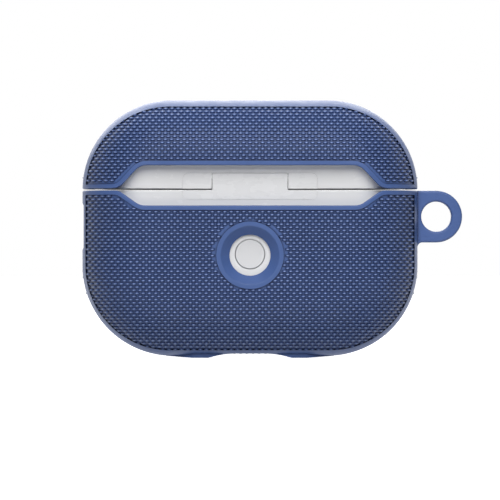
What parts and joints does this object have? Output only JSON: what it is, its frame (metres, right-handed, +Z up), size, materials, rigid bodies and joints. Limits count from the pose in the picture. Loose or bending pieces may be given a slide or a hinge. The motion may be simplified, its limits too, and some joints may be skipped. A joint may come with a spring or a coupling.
{
  "type": "wireless earbuds charging case",
  "caption": "Pill-shaped charging case for wireless earbuds in a two-piece textured cover with a lanyard ring; hinged lid, pairing button and sprung charging contacts.",
  "frame": {"origin": "middle of the charging port's cut-out, on the plane the case stands on", "axes": "+X along the width, away from the lanyard ring; +Y to the hinge side, the back; +Z up, towards the lid"},
  "size_m": [0.0734, 0.026, 0.0498],
  "materials": {
    "cover_blue": "satin, fine-grained soft moulding",
    "case_white": "gloss",
    "tray_white": "satin",
    "hinge_metal": "satin, coated to match the case",
    "pin_steel": "ground",
    "screw_steel": "machined",
    "button_white": "gloss",
    "board_green": "solder mask over glass-fibre board",
    "chip_black": "moulded",
    "flex_amber": "polyimide film",
    "coil_copper": "lacquered wire; brass stands for copper",
    "ferrite_grey": "sintered",
    "cell_silver": "laminate foil",
    "foam_black": "closed-cell foam",
    "port_steel": "drawn sheet",
    "tongue_black": "moulded",
    "seal_rubber": "moulded",
    "led_white": "moulded",
    "pipe_clear": "clear; glass stands for clear plastic",
    "magnet_nickel": "nickel plate",
    "contact_gold": "gold plate",
    "tape_white": "film"
  },
  "bodies": {
    "base": {"base_latch_magnet": "magnet_nickel", "battery": "cell_silver", "battery_foam": "foam_black", "board_chips": "chip_black", "bud_magnets": "magnet_nickel", "button_board": "board_green", "button_flex": "flex_amber", "button_screws": "screw_steel", "button_switch": "chip_black", "case_base_shell": "case_white", "charging_coil": "coil_copper", "coil_ferrite": "ferrite_grey", "contact_barrels_left": "contact_gold", "contact_barrels_right": "contact_gold", "contact_board_left": "board_green", "contact_board_right": "board_green", "contact_flex_left": "flex_amber", "contact_flex_right": "flex_amber", "cover_base": "cover_blue", "cover_ring": "cover_blue", "earbud_tray": "tray_white", "hinge_base_leaf": "hinge_metal", "hinge_base_screws": "screw_steel", "hinge_pin": "pin_steel", "hinge_washers": "pin_steel", "led_board": "board_green", "light_pipe": "pipe_clear", "main_board": "board_green", "port_seal": "seal_rubber", "port_shell": "port_steel", "port_tongue": "tongue_black", "status_led": "led_white"},
    "lid": {"cover_lid": "cover_blue", "cover_lid_tape": "tape_white", "case_lid_shell": "case_white", "lid_liner": "tray_white", "hinge_lid_leaf": "hinge_metal", "hinge_lid_screws": "screw_steel", "lid_latch_magnet": "magnet_nickel"},
    "button": {"pair_button": "button_white"},
    "pin_left_inner": {"contact_pin_left_inner": "contact_gold"},
    "pin_left_outer": {"contact_pin_left_outer": "contact_gold"},
    "pin_right_inner": {"contact_pin_right_inner": "contact_gold"},
    "pin_right_outer": {"contact_pin_right_outer": "contact_gold"}
  },
  "joints": [
    {"name": "lid_hinge", "type": "hinge", "parent": "base", "child": "lid", "pos_m": [0, 0.0101, 0.0348], "axis": [-1, 0, 0], "range_deg": [0, 90]},
    {"name": "button_press", "type": "slide", "parent": "base", "child": "button", "axis": [0, -1, 0], "range_m": [0, 0.00025], "stiffness_N_per_m": 400},
    {"name": "pin_left_inner_press", "type": "slide", "parent": "base", "child": "pin_left_inner", "axis": [0, 0, -1], "range_m": [0, 0.0006], "stiffness_N_per_m": 150},
    {"name": "pin_left_outer_press", "type": "slide", "parent": "base", "child": "pin_left_outer", "axis": [0, 0, -1], "range_m": [0, 0.0006], "stiffness_N_per_m": 150},
    {"name": "pin_right_inner_press", "type": "slide", "parent": "base", "child": "pin_right_inner", "axis": [0, 0, -1], "range_m": [0, 0.0006], "stiffness_N_per_m": 150},
    {"name": "pin_right_outer_press", "type": "slide", "parent": "base", "child": "pin_right_outer", "axis": [0, 0, -1], "range_m": [0, 0.0006], "stiffness_N_per_m": 150}
  ]
}
